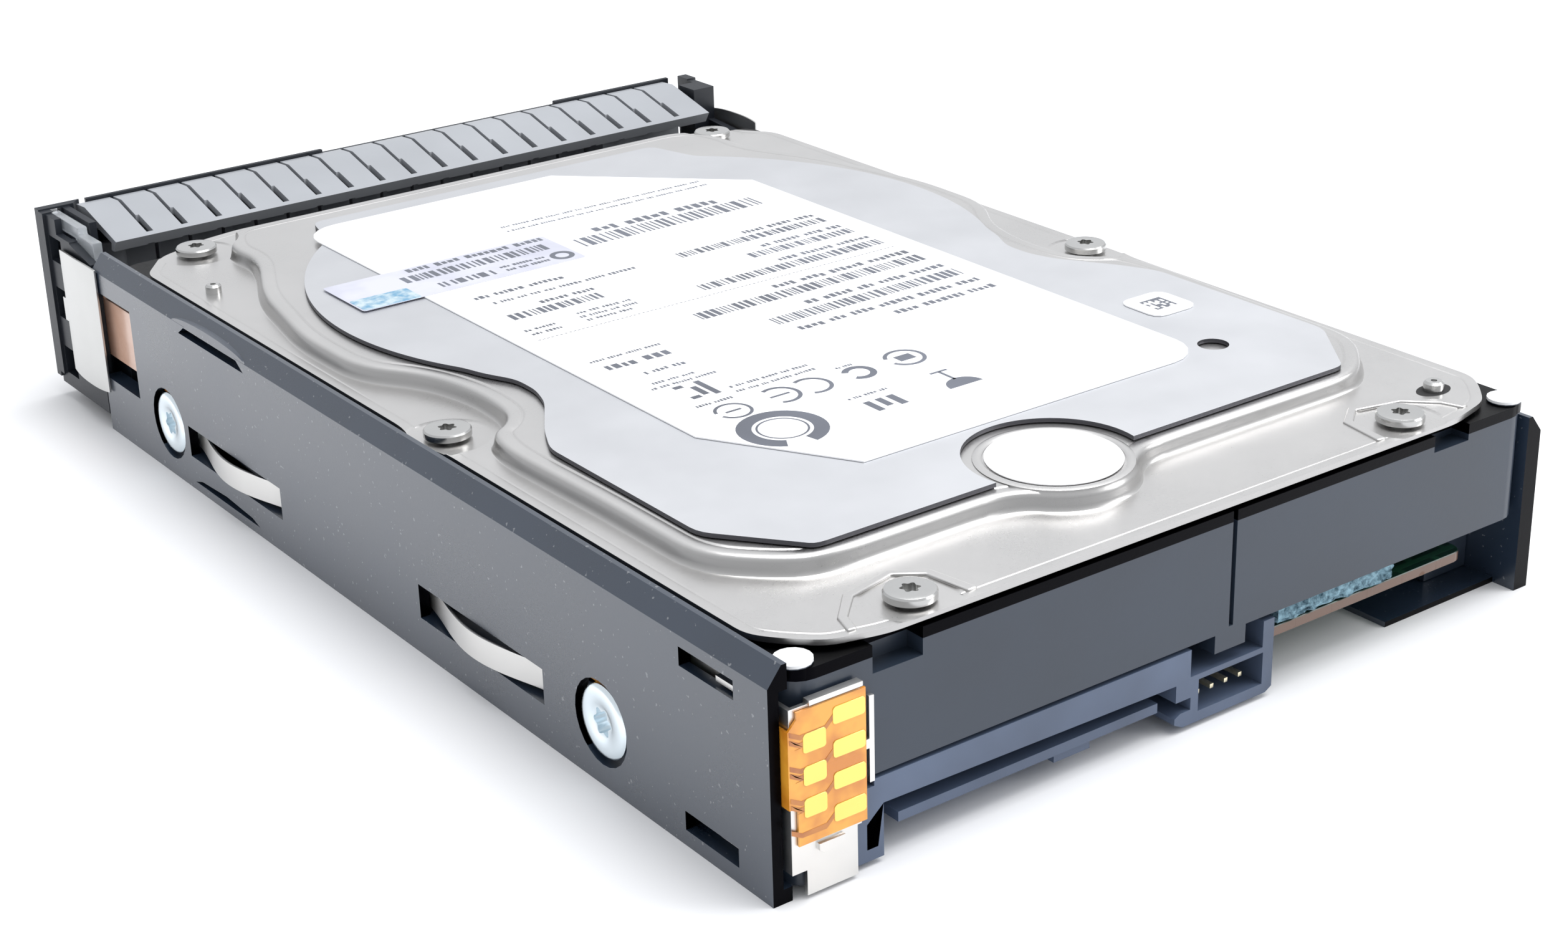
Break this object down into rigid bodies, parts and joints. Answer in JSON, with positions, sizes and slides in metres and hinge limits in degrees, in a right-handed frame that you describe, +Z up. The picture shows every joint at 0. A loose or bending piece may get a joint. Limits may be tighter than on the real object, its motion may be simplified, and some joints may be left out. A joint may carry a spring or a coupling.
{
  "type": "hard disk drive",
  "caption": "Rectangular hard disk drive in a slide-in carrier with side rails, ribbed ejector lever, and internal discs and head actuator.",
  "frame": {"origin": "centre of the assembly's footprint, on the plane its rails rest on", "axes": "+Y to the rear connector, -Y to the front lever, +Z up to the label, +X to the side with the signal flex"},
  "size_m": [0.1082, 0.1686, 0.027],
  "materials": {
    "black_casting": "satin black e-coat over die-cast aluminium",
    "cover_nickel": "satin nickel plate on pressed steel",
    "damper_steel": "fine satin stainless sheet",
    "zinc": "bright zinc plated screw",
    "spring_steel": "bright rolled spring steel",
    "white_label": "matt white film label with grey print",
    "rail_paint": "satin slate black paint",
    "black_plastic": "fine-textured black moulding",
    "connector_plastic": "blue-black glass-filled moulding",
    "rib_grey": "satin light grey",
    "disc_mirror": "polished sputtered disc",
    "aluminium": "machined aluminium",
    "copper": "enamelled copper winding",
    "polyimide": "amber polyimide film over copper",
    "gold": "gold plated contact",
    "board_green": "solder-masked glass laminate",
    "foam": "blue open-cell foam",
    "gasket_rubber": "black moulded rubber",
    "clear_plastic": "translucent light guide",
    "filter_white": "white felt",
    "magnet_nickel": "nickel plated magnet",
    "ramp_plastic": "natural acetal"
  },
  "bodies": {
    "carrier": {"base_casting": "black_casting", "cover_gasket": "gasket_rubber", "top_cover": "cover_nickel", "damper_plate": "damper_steel", "drive_label": "white_label", "round_seal": "white_label", "data_sticker": "white_label", "cover_screw_1": "zinc", "cover_screw_2": "zinc", "cover_screw_3": "zinc", "cover_screw_4": "zinc", "cover_screw_5": "zinc", "cover_screw_6": "zinc", "spindle_stator": "copper", "lower_magnet_plate": "spring_steel", "upper_magnet_plate": "spring_steel", "lower_magnet": "magnet_nickel", "upper_magnet": "magnet_nickel", "pivot_post": "zinc", "load_ramp": "ramp_plastic", "recirculation_filter": "filter_white", "breather_filter": "filter_white", "head_ribbon": "polyimide", "circuit_board": "board_green", "drive_connector": "connector_plastic", "foam_pad": "foam", "left_rail": "rail_paint", "right_rail": "rail_paint", "side_spring_1": "spring_steel", "side_spring_2": "spring_steel", "side_spring_3": "spring_steel", "side_spring_4": "spring_steel", "carrier_screw_1": "zinc", "carrier_screw_2": "zinc", "carrier_screw_3": "zinc", "carrier_screw_4": "zinc", "contact_bracket": "spring_steel", "signal_flex": "polyimide", "bezel_frame": "black_plastic", "light_pipe": "clear_plastic", "ground_clip_left": "spring_steel", "ground_clip_right": "spring_steel", "lever_pin": "spring_steel"},
    "disc_pack": {"spindle_hub": "aluminium", "platter_1": "disc_mirror", "platter_2": "disc_mirror", "platter_3": "disc_mirror", "platter_spacer_1": "aluminium", "platter_spacer_2": "aluminium", "disc_clamp": "spring_steel"},
    "head_actuator": {"actuator_arm": "aluminium", "voice_coil": "copper"},
    "head_latch": {"actuator_latch": "black_plastic"},
    "lever": {"ejector_lever": "rib_grey", "lever_faceplate": "black_plastic"},
    "button": {"release_button": "connector_plastic", "button_spring": "spring_steel"}
  },
  "joints": [
    {"name": "spindle_spin", "type": "hinge", "parent": "carrier", "child": "disc_pack", "pos_m": [0, -0.01392, 0], "axis": [0, 0, 1], "continuous": true},
    {"name": "actuator_swing", "type": "hinge", "parent": "carrier", "child": "head_actuator", "pos_m": [-0.014, 0.04158, 0], "axis": [0, 0, 1], "range_deg": [-35, 0]},
    {"name": "latch_swing", "type": "hinge", "parent": "carrier", "child": "head_latch", "pos_m": [-0.0385, 0.03058, 0], "axis": [0, 0, 1], "range_deg": [0, 12]},
    {"name": "lever_open", "type": "hinge", "parent": "carrier", "child": "lever", "pos_m": [0.0455, -0.08092, 0], "axis": [0, 0, 1], "range_deg": [0, 48]},
    {"name": "button_press", "type": "slide", "parent": "lever", "child": "button", "axis": [0, 1, 0], "range_m": [0, 0.0018], "stiffness_N_per_m": 400}
  ]
}
